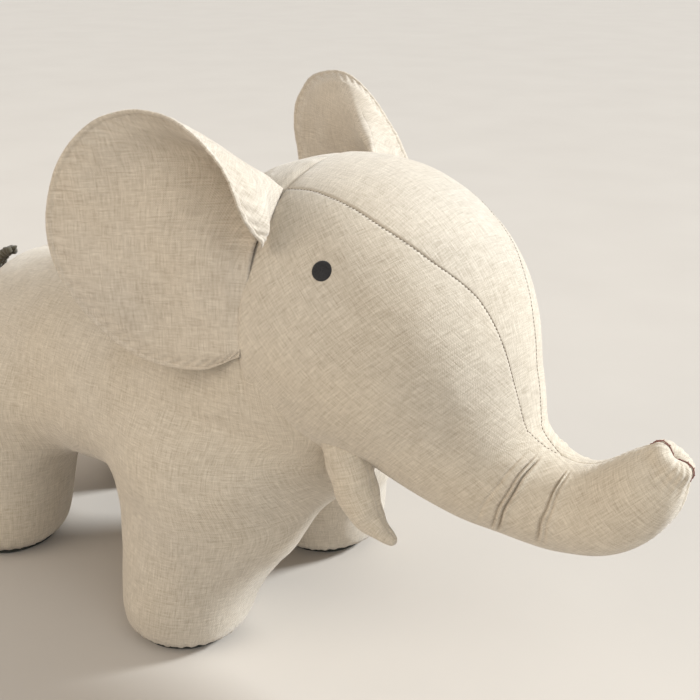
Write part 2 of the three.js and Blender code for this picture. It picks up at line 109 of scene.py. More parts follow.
def steady_cubic(knots, values, t):
    """The cubic through values at knots that never swings past them, worked out at every t."""
    knots = np.asarray(knots, float)
    values = np.asarray(values, float)
    gap = np.diff(knots)
    slope = np.diff(values) / gap
    lean = np.zeros_like(values)
    before, after = slope[:-1], slope[1:]
    same = before * after > 0
    weight_a = 2 * gap[1:] + gap[:-1]
    weight_b = gap[1:] + 2 * gap[:-1]
    safe_before = np.where(same, before, 1)
    safe_after = np.where(same, after, 1)
    mean = (weight_a + weight_b) / (weight_a / safe_before + weight_b / safe_after)
    lean[1:-1] = np.where(same, mean, 0)
    lean[0], lean[-1] = slope[0], slope[-1]
    t = np.asarray(t, float)
    i = np.clip(np.searchsorted(knots, t, side="right") - 1, 0, len(gap) - 1)
    h = gap[i]
    s = (t - knots[i]) / h
    rise = values[i] * (1 + 2 * s) * (1 - s) ** 2 + values[i + 1] * s * s * (3 - 2 * s)
    return rise + h * (lean[i] * s * (1 - s) ** 2 + lean[i + 1] * s * s * (s - 1))


def knots_along(points):
    """Each point's share of the way along the line through them all."""
    steps = np.linalg.norm(np.diff(np.asarray(points, float), axis=0), axis=1)
    return np.concatenate([[0], np.cumsum(steps)]) / steps.sum()


def length_along(points):
    """The length of a line of points, up to each of them."""
    return np.concatenate([[0], np.cumsum(np.linalg.norm(np.diff(points, axis=0), axis=1))])


def turns(count):
    """Evenly spread angles, once round."""
    return np.linspace(0, 2 * math.pi, count, endpoint=False)


def smooth_step(low, high, x):
    """0 at low, 1 at high, with level ends."""
    s = np.clip((np.asarray(x, float) - low) / (high - low), 0, 1)
    return s * s * (3 - 2 * s)


def bell(x, width):
    """1 at x = 0, falling smoothly to nothing a few widths away."""
    return np.exp(-((x / width) ** 2))


def unit(v):
    return v / np.maximum(np.linalg.norm(v, axis=-1, keepdims=True), 1e-9)


class Spine:
    """A line in an upright plane, with a ball whose radius changes along it.

    Rows are (ahead of the origin, above it, the ball's radius, how much wider than high it is).
    """

    def __init__(self, rows, origin=(0, 0, 0)):
        rows = np.array([tuple(row) + (1,) * (4 - len(row)) for row in rows], float)
        self.origin = np.array(origin, float)
        self.rows = rows
        self.knots = knots_along(rows[:, :2])

    def radius(self, share):
        return steady_cubic(self.knots, self.rows[:, 2], share)

    def width(self, share):
        return steady_cubic(self.knots, self.rows[:, 3], share)

    def centre(self, share):
        flat = natural_cubic(self.knots, self.rows[:, :2], share)
        return np.stack([flat[..., 0], 0 * flat[..., 0], flat[..., 1]], -1) + self.origin

    def skin(self, share, turn, grow=0.0, cap=0.06):
        """Points of the skin that the ball sweeps.

        The ball touches its skin at a lift of arcsin(-change of radius per length) over the square
        to the spine; turn is the angle round it from the top, towards +Y. Past either end of the
        spine, over a stretch of cap, the lift goes on to the pole of the last ball. grow moves the
        skin out.
        """
        share, turn = np.broadcast_arrays(np.asarray(share, float), np.asarray(turn, float))
        on = np.clip(share, 0, 1)
        step = 1e-4
        low, high = np.clip(on - step, 0, 1), np.clip(on + step, 0, 1)
        run = self.centre(high) - self.centre(low)
        length = np.linalg.norm(run, axis=-1)
        along = run / length[..., None]
        change = (self.radius(high) - self.radius(low)) / length
        lift = np.arcsin(np.clip(-change, -0.98, 0.98))
        past = np.clip((share - 1) / cap, 0, 1)
        before = np.clip(-share / cap, 0, 1)
        lift = lift + past * (math.pi / 2 - lift)
        lift = lift + before * (-math.pi / 2 - lift)
        radius = self.radius(on)
        up = np.stack([-along[..., 2], 0 * turn, along[..., 0]], -1)
        high_by = (radius + grow) * np.cos(turn)
        wide_by = (radius * self.width(on) + grow) * np.sin(turn)
        ring = high_by[..., None] * up + wide_by[..., None] * np.array([0.0, 1.0, 0.0])
        ahead = ((radius + grow) * np.sin(lift))[..., None] * along
        return self.centre(on) + ahead + np.cos(lift)[..., None] * ring

    def depth(self, points, count=90):
        """How far each point is outside the swept ball, negative inside: the least over its balls."""
        share = np.linspace(0, 1, count)
        centre, radius, width = self.centre(share), self.radius(share), self.width(share)
        least = np.full(len(points), 1e9)
        for c, r, w in zip(centre, radius, width):
            off = (points - c) / (1, w, 1)
            least = np.minimum(least, np.linalg.norm(off, axis=1) - r)
        return least


def nearest(points, line, chunk=4000):
    """Distance from each point to the nearest point of a line, and that point's number."""
    far, which = [], []
    for i in range(0, len(points), chunk):
        gaps = np.linalg.norm(points[i : i + chunk, None] - line[None], axis=2)
        which.append(gaps.argmin(1))
        far.append(gaps.min(1))
    return np.concatenate(far), np.concatenate(which)


def lumps(points, size, seed, waves=7):
    """A soft field between about -1 and 1: waves of about that size, each with its own way."""
    rng = np.random.default_rng(seed)
    total = np.zeros(points.shape[:-1])
    for _ in range(waves):
        way = unit(rng.normal(size=3)) * (2 * math.pi / size) * rng.uniform(0.7, 1.4)
        total = total + np.sin(points @ way + rng.uniform(0, 2 * math.pi))
    return total / (waves / 2)


# ---- meshes ----


def make_object(name, points, faces, uv=None):
    """A mesh object from faces, and points and a cloth map in millimetres, both kept in metres."""
    mesh = bpy.data.meshes.new(name)
    mesh.from_pydata((np.asarray(points) * MM).tolist(), [], [tuple(f) for f in faces])
    mesh.update()
    if uv is not None:
        layer = mesh.uv_layers.new(name="Cloth")
        corners = np.concatenate([np.asarray(f) for f in faces])
        layer.data.foreach_set("uv", (np.asarray(uv)[corners] * MM).ravel())
    mesh.polygons.foreach_set("use_smooth", [True] * len(mesh.polygons))
    obj = bpy.data.objects.new(name, mesh)
    bpy.context.scene.collection.objects.link(obj)
    return obj


def grid_faces(rows, columns, around=False, start=0, flip=False):
    """The four-sided faces of a grid of rows by columns, closed round its columns if asked."""
    number = np.arange(rows * columns).reshape(rows, columns) + start
    if around:
        number = np.concatenate([number, number[:, :1]], 1)
    a, b = number[:-1, :-1], number[:-1, 1:]
    c, d = number[1:, 1:], number[1:, :-1]
    corners = (a, d, c, b) if flip else (a, b, c, d)
    return np.stack(corners, -1).reshape(-1, 4)


def ring_object(name, grid, cloth=None):
    """An object from rings of points, each closed on itself."""
    faces = grid_faces(*grid.shape[:2], around=True)
    return make_object(name, grid.reshape(-1, 3), faces, cloth)


def level_rings(middle, long, wide, height, turn):
    """Level oval rings: middle + (long cos turn, wide sin turn), each at its own height."""
    x = middle[0] + long * np.cos(turn)
    y = middle[1] + wide * np.sin(turn)
    return np.stack(np.broadcast_arrays(x, y, height), -1)


def normals_of(grid):
    """The side that a grid faces: a step along its rows crossed with a step along its columns."""
    return unit(np.cross(np.gradient(grid, axis=0), np.gradient(grid, axis=1)))


def shell(name, outer, inner, uv):
    """A closed cloth panel: an outer grid, an inner one, and the strip that joins their edges."""
    rows, columns = outer.shape[:2]
    count = rows * columns
    number = np.arange(count).reshape(rows, columns)
    rim = np.concatenate([number[0], number[1:, -1], number[-1, -2::-1], number[-2:0:-1, 0]])
    after = np.roll(rim, -1)
    strip = np.stack([rim, after, after + count, rim + count], -1)
    sides = [grid_faces(rows, columns, flip=True), grid_faces(rows, columns, start=count)]
    points = np.concatenate([outer.reshape(-1, 3), inner.reshape(-1, 3)])
    cloth = np.tile(uv.reshape(-1, 2), (2, 1))
    return tidy(make_object(name, points, np.concatenate([*sides, strip]), cloth))


def tidy(obj, reach=0.00002):
    """Joins points that coincide, drops the faces that collapse, and turns every face outwards."""
    work = bmesh.new()
    work.from_mesh(obj.data)
    bmesh.ops.remove_doubles(work, verts=work.verts, dist=reach)
    bmesh.ops.dissolve_degenerate(work, edges=work.edges, dist=reach / 4)
    bmesh.ops.recalc_face_normals(work, faces=work.faces)
    work.to_mesh(obj.data)
    work.free()
    return obj


UNLIKE_ANY_THREAD = np.array([0.31, 0.17, 0.93])  # a direction no tube runs in


def tube(points, radius, sides=8, start=0):
    """A round tube with closed ends along a line of points: rings square to it, in one frame."""
    points = np.asarray(points, float)
    along = unit(np.gradient(points, axis=0))
    one = unit(np.cross(along, UNLIKE_ANY_THREAD))
    two = np.cross(along, one)
    radius = np.broadcast_to(np.asarray(radius, float), (len(points),))
    turn = turns(sides)
    ring = np.cos(turn)[None, :, None] * one[:, None] + np.sin(turn)[None, :, None] * two[:, None]
    grid = points[:, None] + radius[:, None, None] * ring
    count = len(points) * sides
    faces = [tuple(f) for f in grid_faces(len(points), sides, around=True, start=start)]
    faces.append(tuple(range(start + sides - 1, start - 1, -1)))
    faces.append(tuple(range(start + count - sides, start + count)))
    return grid.reshape(-1, 3), faces


def several_tubes(name, lines, radius, sides=6):
    """One object of many short threads."""
    points, faces = [], []
    for line in lines:
        grid, more = tube(line, radius, sides, sum(len(p) for p in points))
        points.append(grid)
        faces += more
    return tidy(make_object(name, np.concatenate(points), faces), 0.000001)


# ---- materials ----


def socket(group, name, kind, way, value=None):
    made = group.interface.new_socket(name=name, in_out=way, socket_type=kind)
    if value is not None:
        made.default_value = value
    return made


class Nodes:
    """Short ways to add and link the nodes of one tree."""

    def __init__(self, tree):
        self.tree = tree

    def add(self, kind, **settings):
        node = self.tree.nodes.new(kind)
        for name, value in settings.items():
            setattr(node, name, value)
        return node

    def link(self, source, target):
        self.tree.links.new(source, target)

    def fill(self, node, values):
        """Gives each input, by its name or number, its value or a link from another node."""
        for key, value in values.items():
            if isinstance(value, (int, float, tuple)):
                node.inputs[key].default_value = value
            else:
                self.link(value, node.inputs[key])
        return node

    def math(self, operation, *values):
        node = self.add("ShaderNodeMath", operation=operation)
        return self.fill(node, dict(enumerate(values))).outputs[0]

    def plus(self, a, b):
        return self.math("ADD", a, b)

    def minus(self, a, b):
        return self.math("SUBTRACT", a, b)

    def times(self, a, b):
        return self.math("MULTIPLY", a, b)

    def noise(self, vector, scale, detail=2.0, roughness=0.5):
        values = {"Vector": vector, "Scale": scale, "Detail": detail, "Roughness": roughness}
        return self.fill(self.add("ShaderNodeTexNoise"), values).outputs["Fac"]

    def place(self, vector, scale=(1, 1, 1), turn=0.0):
        values = {"Vector": vector, "Scale": scale, "Rotation": (0, 0, turn)}
        return self.fill(self.add("ShaderNodeMapping"), values).outputs[0]

    def span(self, value, low, high, to_low=0.0, to_high=1.0):
        values = {"From Min": low, "From Max": high, "To Min": to_low, "To Max": to_high}
        return self.fill(self.add("ShaderNodeMapRange"), {"Value": value, **values}).outputs[0]

    def mix(self, amount, one, two, blend="MIX"):
        node = self.add("ShaderNodeMix", data_type="RGBA", blend_type=blend)
        return self.fill(node, {0: amount, 6: one, 7: two}).outputs[2]

    def bump(self, height, strength, distance):
        values = {"Height": height, "Strength": strength, "Distance": distance}
        return self.fill(self.add("ShaderNodeBump"), values).outputs[0]


STREAKS = [  # streaks to a metre across and up the cloth, for each way of the threads
    [(140, 1500), (1500, 120)],
    [(50, 700), (700, 50)],
]


def weave_group():
    """Plain-woven linen: uneven threads both ways, with slubs, worked out from a place on the cloth.

    Height is the round top of each thread, over and under in turn. Tone is how pale the cloth is:
    long thin streaks along each thread, where the yarn is thick or thin, over soft blotches, with
    painted shade in the hollows between the threads and a painted highlight on their tops.
    """
    group = bpy.data.node_groups.new("Linen weave", "ShaderNodeTree")
    socket(group, "Cloth", "NodeSocketVector", "INPUT")
    socket(group, "Threads", "NodeSocketFloat", "INPUT", 1800.0)
    socket(group, "Slubs", "NodeSocketFloat", "INPUT", 1.0)
    socket(group, "Tone", "NodeSocketFloat", "OUTPUT")
    socket(group, "Height", "NodeSocketFloat", "OUTPUT")
    nodes = Nodes(group)
    given = nodes.add("NodeGroupInput")
    cloth, threads, slubs = (given.outputs[i] for i in range(3))
    sway = nodes.times(nodes.minus(nodes.noise(cloth, 260.0, 3.0), 0.5), 0.0011)
    parts = nodes.fill(nodes.add("ShaderNodeSeparateXYZ"), {0: cloth})
    waves = []
    for axis in (0, 1):
        at = nodes.plus(parts.outputs[axis], sway)
        waves.append(nodes.math("SINE", nodes.times(nodes.times(at, threads), math.pi)))
    ridges = nodes.plus(*(nodes.math("ABSOLUTE", wave) for wave in waves))
    weave = nodes.plus(nodes.times(ridges, 0.35), nodes.times(nodes.times(*waves), 0.3))
    fine, coarse = (
        nodes.plus(*(nodes.noise(nodes.place(cloth, (*scale, 1)), 1.0, 2.0, 0.6) for scale in pair))
        for pair in STREAKS
    )
    streak = nodes.minus(nodes.plus(nodes.times(fine, 0.62), nodes.times(coarse, 0.38)), 1.0)
    blotch = nodes.minus(nodes.noise(cloth, 16.0, 3.0), 0.5)
    tone = nodes.plus(nodes.times(nodes.times(streak, slubs), 1.4), nodes.times(blotch, 0.4))
    # painted shade and highlight: the tone follows the weave's height, darker in the hollows between
    # threads, paler on their tops
    tone = nodes.plus(tone, nodes.times(nodes.minus(weave, 0.45), 0.45))
    height = nodes.plus(weave, nodes.times(streak, 1.6))
    nodes.fill(nodes.add("NodeGroupOutput"), {"Tone": nodes.plus(tone, 0.5), "Height": height})
    return group


WEAVE = weave_group()


def new_material(name):
    material = bpy.data.materials.new(name)
    material.use_nodes = True
    nodes = Nodes(material.node_tree)
    shader = material.node_tree.nodes["Principled BSDF"]
    return material, nodes, shader


def linen(name, dark, pale, turn=0.0):
    """Woven linen on the piece's own cloth map, turned on the cloth by an angle."""
    material, nodes, shader = new_material(name)
    source = nodes.add("ShaderNodeUVMap", uv_map="Cloth")
    weave = nodes.add("ShaderNodeGroup", node_tree=WEAVE)
    nodes.fill(weave, {"Cloth": nodes.place(source.outputs[0], turn=turn)})
    tone, height = weave.outputs["Tone"], weave.outputs["Height"]
    place = nodes.add("ShaderNodeTexCoord").outputs["Object"]
    cool = nodes.times(nodes.span(nodes.noise(place, 9.0, 2.0), 0.35, 0.7), 0.5)
    colour = nodes.mix(nodes.span(tone, 0.0, 1.0), dark, pale)
    values = {
        "Base Color": nodes.mix(cool, colour, (0.86, 0.9, 0.98, 1), "MULTIPLY"),
        "Roughness": nodes.span(tone, 0.2, 0.8, 0.95, 0.82),
        "Specular IOR Level": 0.25,
        "Sheen Weight": 0.35,
        "Sheen Roughness": 0.45,
        "Sheen Tint": (0.95, 0.93, 0.9, 1),
        "Normal": nodes.bump(height, 0.55, 0.00035),
    }
    nodes.fill(shader, values)
    return material


def fibres(name, dark, pale, scale, bump_depth):
    """Felt, yarn or wadding: short fibres lying every way, from noise at two sizes."""
    material, nodes, shader = new_material(name)
    place = nodes.add("ShaderNodeTexCoord").outputs["Object"]
    fine = nodes.noise(place, scale, 4.0, 0.7)
    broad = nodes.noise(place, scale / 12, 2.0)
    mixed = nodes.plus(nodes.times(fine, 0.7), nodes.times(broad, 0.3))
    values = {
        "Base Color": nodes.mix(nodes.span(mixed, 0.3, 0.7), (*dark, 1), (*pale, 1)),
        "Roughness": nodes.span(fine, 0.2, 0.8, 0.98, 0.85),
        "Specular IOR Level": 0.2,
        "Sheen Weight": 0.25,
        "Normal": nodes.bump(mixed, 0.6, bump_depth),
    }
    nodes.fill(shader, values)
    return material


DARK_LINEN = (0.335, 0.275, 0.2, 1)
PALE_LINEN = (0.66, 0.575, 0.455, 1)
LINEN = linen("Natural linen", DARK_LINEN, PALE_LINEN)
BIAS_LINEN = linen("Natural linen on the bias", DARK_LINEN, PALE_LINEN, math.radians(45))
EAR_LINEN = linen("Ear linen", (0.33, 0.27, 0.2, 1), (0.65, 0.565, 0.45, 1), math.radians(4))
FELT = fibres("Dark felt", (0.014, 0.015, 0.012), (0.05, 0.05, 0.04), 900.0, 0.0004)
FILLING = fibres("Fibre filling", (0.75, 0.74, 0.7), (0.88, 0.87, 0.84), 300.0, 0.001)
EYE_DARK, EYE_PALE = (0.012, 0.011, 0.011), (0.035, 0.033, 0.033)
EYE_THREAD = fibres("Black eye thread", EYE_DARK, EYE_PALE, 1500.0, 0.0002)
YARN = fibres("Dark olive yarn", (0.035, 0.032, 0.02), (0.11, 0.09, 0.06), 1200.0, 0.0005)
SEAM_THREAD = fibres("Brown seam thread", (0.1, 0.07, 0.045), (0.2, 0.15, 0.1), 2000.0, 0.0001)
TIP_THREAD = fibres("Red-brown thread", (0.12, 0.035, 0.025), (0.24, 0.09, 0.065), 2000.0, 0.0001)


def dress(obj, material):
    obj.data.materials.clear()
    obj.data.materials.append(material)
    return obj


# ---- head and trunk ----
HEAD_SPINE = Spine(
    [
        (-37, -5, HEAD_RADIUS - 2),
        (0, 0, HEAD_RADIUS),
        (50, -36, 64),
        (84, -72, 42),
        (114, -85, 32),
        (141, -89, 28),
        (165, -83, 26),
        (184, -66, 22),
        (194, -51, 15, 0.8),
    ],
    HEAD,
)
TIP_CAP = 0.06  # the stretch of rows that closes the trunk's end
TIP = 1 + TIP_CAP
NECK_X = HEAD[0] - 27
CHIN_FORWARD = 25  # how far the neck seam sweeps forward under the chin
CLOTH = 1.2  # a cover with its seam allowance
GUSSET_END = 0.7  # share along the spine where the gusset comes to its point
GUSSET_SHARE = [0, 0.08, 0.113, 0.135, 0.155, 0.18, 0.221, 0.276, 0.4, 0.55, 0.65, GUSSET_END]
GUSSET_TURN = [30, 30.5, 30.5, 31.5, 32, 29, 19, 14.5, 11.5, 9, 5.5, 0]  # degrees from the top
PUCKER_PITCH = 5.2  # from one pucker to the next along a seam
HEAD_LENGTH = 290  # about how long the head and trunk are
TRUNK_CREASES = [  # share along the spine, depth, half its width, how far its top leans ahead
    (0.593, 0.8, 1.5, 0.006),
    (0.63, 1.7, 1.0, 0.006),
    (0.647, 2.5, 1.0, 0.006),
    (0.736, 2.2, 1.0, 0.014),
    (0.75, 1.1, 1.0, 0.016),
]


def gusset_turn(share):
    """Half the gusset's turn at each place along the head, in radians."""
    return np.radians(steady_cubic(GUSSET_SHARE, GUSSET_TURN, np.clip(share, 0, GUSSET_END)))


def neck_share(turn):
    """Where each line along the head meets the neck seam, which sweeps forward under the chin."""
    share = np.linspace(0, 0.4, 400)
    x = HEAD_SPINE.skin(share[:, None], turn[None])[..., 0]
    under = smooth_step(math.radians(118), math.pi, np.abs(turn))
    return share[np.argmax(x > (NECK_X + CHIN_FORWARD * under)[None], axis=0)]


def head_rows(count):
    """Row places from 0 at the neck to 1 at the tip, evenly spread over the skin's mean length.

    They are closer together where the trunk's creases are.
    """
    share = np.linspace(0.08, TIP, 500)
    turn = np.radians([0, 60, 90, 130, 180])
    line = HEAD_SPINE.skin(share[:, None], turn[None])
    run = np.linalg.norm(np.diff(line, axis=0), axis=2).mean(1)
    middle = (share[1:] + share[:-1]) / 2
    run *= 1 + 1.7 * (smooth_step(0.5, 0.56, middle) - smooth_step(0.78, 0.84, middle))
    total = np.concatenate([[0], np.cumsum(run)])
    place = (share - share[0]) / (share[-1] - share[0])
    return np.interp(np.linspace(0, total[-1], count), total, place)


ROWS = head_rows(340)
SEAM_TURN = gusset_turn(0.08)
SEAM_NECK = neck_share(np.array([SEAM_TURN]))[0]
SEAM_SHARE = SEAM_NECK + (TIP - SEAM_NECK) * ROWS
GUSSET_ROWS = int(np.argmax(SEAM_SHARE >= GUSSET_END)) + 1


def head_lines():
    """The seams of the head as lines of points: both gusset seams, trunk top, chin and neck."""
    share = np.linspace(SEAM_NECK, GUSSET_END, 260)
    top = np.linspace(GUSSET_END, 1, 90)
    under = np.linspace(neck_share(np.array([math.pi]))[0], 1, 200)
    ring = np.linspace(-math.pi, math.pi, 260)
    return {
        "right": HEAD_SPINE.skin(share, -gusset_turn(share)),
        "left": HEAD_SPINE.skin(share, gusset_turn(share)),
        "top": HEAD_SPINE.skin(top, 0 * top),
        "chin": HEAD_SPINE.skin(under, 0 * under + math.pi),
        "neck": HEAD_SPINE.skin(neck_share(ring), ring),
    }


HEAD_LINES = head_lines()


def head_relief(share, turn):
    """How far the head's cloth stands out of, or in from, the swept ball.

    Seams draw in, with small puckers beside them; creases cross the trunk's sides where it bends;
    the end of the trunk is pinched in two where it is sewn shut; soft lumps of filling everywhere.
    """
    points = HEAD_SPINE.skin(share, turn)
    flat = points.reshape(-1, 3)
    relief = 0.45 * lumps(flat, 70, 3) + 0.16 * lumps(flat, 22, 4)
    for name, line in HEAD_LINES.items():
        away, which = nearest(flat, line)
        deep, wide = {"neck": (1.5, 2.4), "chin": (0.8, 1.7)}.get(name, (0.22, 0.9))
        relief -= deep * bell(away, wide) + 0.25 * bell(away, 8)
        phase = length_along(line)[which] * 2 * math.pi / PUCKER_PITCH
        phase = phase + 1.7 * lumps(line, 30, 5)[which]
        relief += 0.16 * np.sin(phase) * bell(away - 3.2, 2.8)
    relief = relief.reshape(share.shape)
    around = np.abs(np.degrees(turn))
    for place, deep, wide, lean in TRUNK_CREASES:
        bowed = place + lean * (90 - around) / 45 + 0.0015 * np.sin(turn * 9)
        run = (share - bowed) * HEAD_LENGTH
        on_side = smooth_step(16, 42, around) * (1 - smooth_step(105, 142, around))
        relief += on_side * deep * (0.35 * bell(run - 2.6 * wide, 2 * wide) - bell(run, wide))
    pole = HEAD_SPINE.skin(np.array([TIP]), np.array([0.0]))[0]
    from_pole = np.linalg.norm(points - pole, axis=-1)
    across = points[..., 1]
    near_end = smooth_step(26, 12, from_pole)
    relief += near_end * (-1.0 * bell(across, 1.2) + 1.7 * bell(from_pole - 11, 4.5))
    relief -= 4.2 * bell(from_pole, 5)
    gathers = np.sin(turn * 15 + 2 * np.sin(turn * 3)) * bell(from_pole - 14, 8)
    return relief + 0.35 * gathers * smooth_step(1, 5, np.abs(across))


def head_panel(name, side=None):
    """A panel of the head and trunk as a closed shell of cloth.

    A side panel runs round from the gusset seam to the chin; the gusset runs across the top and
    ends in a point. Both take their rows from the gusset seam, so their edges meet. The gusset lies
    on its cloth unrolled across; a side lies as it is seen from that side, top and bottom unrolled.
    """
    if side is None:
        place = ROWS[:GUSSET_ROWS, None]
        across = np.linspace(-1, 1, 42)[None]
        neck = neck_share(across[0] * SEAM_TURN)[None]
        neck = SEAM_NECK + (neck - SEAM_NECK) * (1 - place / place[-1])
        share = neck + (TIP - neck) * place
        share[-1] = GUSSET_END
        turn = across * gusset_turn(share)
    else:
        place = ROWS[:, None]
        across = np.linspace(0, 1, 96)[None] ** 1.08
        neck = neck_share(SEAM_TURN + (math.pi - SEAM_TURN) * across[0])[None]
        share = neck + (TIP - neck) * place
        half = gusset_turn(share)
        turn = side * (half + (math.pi - half) * across)
    relief = head_relief(share, turn)
    outer = HEAD_SPINE.skin(share, turn, relief)
    inner = HEAD_SPINE.skin(share, turn, relief - CLOTH)
    if side is None:
        length = length_along(HEAD_SPINE.skin(share[:, 0], 0 * share[:, 0]))[:, None]
        centre = HEAD_SPINE.centre(np.clip(share, 0, 1))
        along = unit(np.gradient(centre, axis=0))
        reach = np.linalg.norm(np.cross(outer - centre, along), axis=2)
        cloth = np.stack(np.broadcast_arrays(length, turn * reach), -1)
    else:
        level = HEAD_SPINE.skin(share, np.full_like(turn, side * math.pi / 2))
        raised = math.pi / 2 - np.abs(turn)
        spread = (HEAD_SPINE.skin(share, turn) - level) / np.sinc(raised / math.pi)[..., None]
        cloth = (level + spread)[..., [0, 2]]
    return shell(name, outer, inner, cloth)


def bend_trunk(obj):
    """Bakes the object's place into its points, and leaves the cloth unbent."""
    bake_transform(obj)
    return obj


def build_head():
    gusset = dress(head_panel("head_gusset_cloth"), LINEN)
    bend_trunk(gusset)
    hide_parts("head_gusset")
    for name, side in SIDES.items():
        cloth = dress(head_panel("head_side_" + name, side), BIAS_LINEN)
        bend_trunk(cloth)
        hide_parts("head_panel_" + name, "trunk_panel_" + name)
    turn = turns(90)[None]
    start = neck_share(turn[0])[None] + 0.012
    share = start + (TIP - start) * np.linspace(0, 1, 120)[:, None]
    grid = HEAD_SPINE.skin(share, turn, -5.0)
    grid[0] = grid[0].mean(0)
    stuffing = dress(tidy(ring_object("head_stuffing", grid)), FILLING)
    bend_trunk(stuffing)
    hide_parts("head_filling", "trunk_filling")


def dashes(line, pitch, length, lift_by):
    """Short straight stitches along a line, every pitch, lifted off the cloth at their middles."""
    total = length_along(line)
    starts = np.arange(pitch / 2, total[-1] - pitch, pitch)
    share = np.linspace(0, 1, 4)
    at = starts[:, None] + length * share[None]
    points = np.stack([np.interp(at, total, line[:, k]) for k in range(3)], -1)
    out = np.stack([np.interp(at, total, lift_by[:, k]) for k in range(3)], -1)
    return points + out * (np.sin(math.pi * share)[None, :, None] * 0.35 - 0.1)


def build_head_stitches():
    """The thread that shows in the gusset seams, and the hand-sewn closing across the trunk's end."""
    lines = []
    for side in (RIGHT, LEFT):
        share = np.linspace(SEAM_NECK + 0.004, GUSSET_END - 0.004, 500)
        turn = side * gusset_turn(share)
        relief = head_relief(share, turn)
        line = HEAD_SPINE.skin(share, turn, relief)
        out = unit(HEAD_SPINE.skin(share, turn, relief + 1) - line)
        lines += list(dashes(line, 2.3, 1.2, out))
    thread = several_tubes("gusset_stitching", lines, 0.19, 5)
    dress(thread, SEAM_THREAD)
    bend_trunk(thread)
    zigzag = []
    for turned in np.linspace(-0.85, 0.85, 9):
        share = np.full(5, TIP - TIP_CAP * abs(turned))
        flank = np.linspace(-1, 1, 5) * 2.2 / (4 + 11 * abs(turned))
        turn = flank + (0 if turned > 0 else math.pi)
        slanted = share + np.linspace(-1, 1, 5) * 0.004 * np.sign(turned)
        relief = head_relief(slanted, turn)
        zigzag.append(HEAD_SPINE.skin(slanted, turn, relief + 0.3 + 0.25 * np.cos(flank * 3)))
    share = np.concatenate([np.linspace(1.006, TIP, 16), np.linspace(TIP, 1.006, 16)[1:]])
    turn = np.where(np.arange(31) < 16, 0.12, math.pi - 0.12)
    relief = head_relief(share, turn)
    zigzag.append(HEAD_SPINE.skin(share, turn, relief + 0.35))
    closing = several_tubes("trunk_closing_thread", zigzag, 0.25, 6)
    dress(closing, TIP_THREAD)
    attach(closing, "trunk_end")
    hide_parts("trunk_tip_stitch")


# ---- body and legs ----
TORSO_SPINE = Spine(
    [
        (HIND_X - 10, 150, 63, 1.2),
        (HIND_X + 83, 150, 74, 1.15),
        (FRONT_X - 20, 158, 78, 1.12),
        (FRONT_X + 50, 188, 86, 1.0),
        (FRONT_X + 72, 229, 88.5, 1.0),
    ]
)
CHEST_SPINE = Spine([(FRONT_X - 30, 150, 70, 1.15), (FRONT_X + 40, 147, 67, 1.15)])
FLANKS = {
    side: Spine([(HIND_X + 52, 131, 42), (FRONT_X + 2, 131, 44)], (0, side * 50, 0))
    for side in (RIGHT, LEFT)
}
SHOULDERS = {  # where the front of each foreleg runs into the chest
    side: Spine([(FRONT_X + 38, 90, 37), (FRONT_X + 19, 72, 34)], (0, side * 43, 0))
    for side in (RIGHT, LEFT)
}
LEG_LEAN_IN = 24  # the top of a leg stands this much nearer to the middle
LEG_LEAN_UP = 158  # the height over which it leans
FORE_LEAN, HIND_LEAN = 16, -4  # how far ahead of its foot the top of a leg is
LEG_OUT = 75.5  # about how far out a foot's middle is
BODY_VOXEL = 4.0
INFLATE_CAP = 3.5  # the most that filling moves the cover


def leg_radii(z):
    """A leg's half length and half width at each height: rounded at the foot, wider upwards."""
    rounded = 12.5 * np.exp(-np.maximum(z, 0) / 6)
    flare = np.clip((z - 40) / 90, 0, 1) ** 2
    return 44.5 + 0.11 * z + 15 * flare - rounded, 44.5 + 0.06 * z + 4 * flare - rounded


def leg_axis(foot, z):
    """The middle of a leg at each height, as x and y."""
    side = np.sign(foot[1])
    forward = FORE_LEAN if foot[0] > HIND_X / 2 else HIND_LEAN
    return foot[0] + forward * z / LEG_LEAN_UP, foot[1] - side * LEG_LEAN_IN * z / LEG_LEAN_UP


def leg_narrowing(z):
    """The share of its size that a leg keeps at each height, rounding over inside the torso."""
    over = np.clip((z - 105) / 62, 0, 0.999)
    return np.sqrt(1 - over**2)


def leg_depth(points, foot):
    """How far each point is outside a leg, negative inside."""
    z = points[:, 2] - SOLE_TOP
    level = np.clip(z, 0, LEG_LEAN_UP)
    long, wide = leg_radii(level)
    x, y = leg_axis(foot, level)
    reach = np.hypot((points[:, 0] - x) / long, (points[:, 1] - y) / wide)
    return np.maximum((reach - leg_narrowing(z)) * np.sqrt(long * wide), z - 160)


def soft_least(a, b, blend):
    """The lesser of two depths, rounded over a blend where they are nearly alike."""
    mix = np.clip(0.5 + 0.5 * (b - a) / blend, 0, 1)
    return b + (a - b) * mix - blend * mix * (1 - mix)


def body_depth(points):
    """Depth of the whole body: torso, chest, flanks, shoulders and legs run into each other.

    It is cut flat at the soles, and hollowed where the head sits in front.
    """
    depth = np.minimum(TORSO_SPINE.depth(points, 60), CHEST_SPINE.depth(points, 16))
    for side in (RIGHT, LEFT):
        depth = soft_least(depth, FLANKS[side].depth(points, 24), 14)
        depth = soft_least(depth, SHOULDERS[side].depth(points, 8), 18)
    for foot in FEET.values():
        depth = soft_least(depth, leg_depth(points, foot), 26)
    floor = SOLE_TOP + 0.3 - points[:, 2]
    depth = -soft_least(-depth, -floor, 2.5)
    return -soft_least(-depth, HEAD_SPINE.depth(points, 60) + 5, 3)


def body_slope(points, step):
    """The body's depth at each point, and its change over one step along x, y and z."""
    depth = body_depth(points)
    return depth, np.stack([body_depth(points + step * axis) - depth for axis in np.eye(3)], 1)


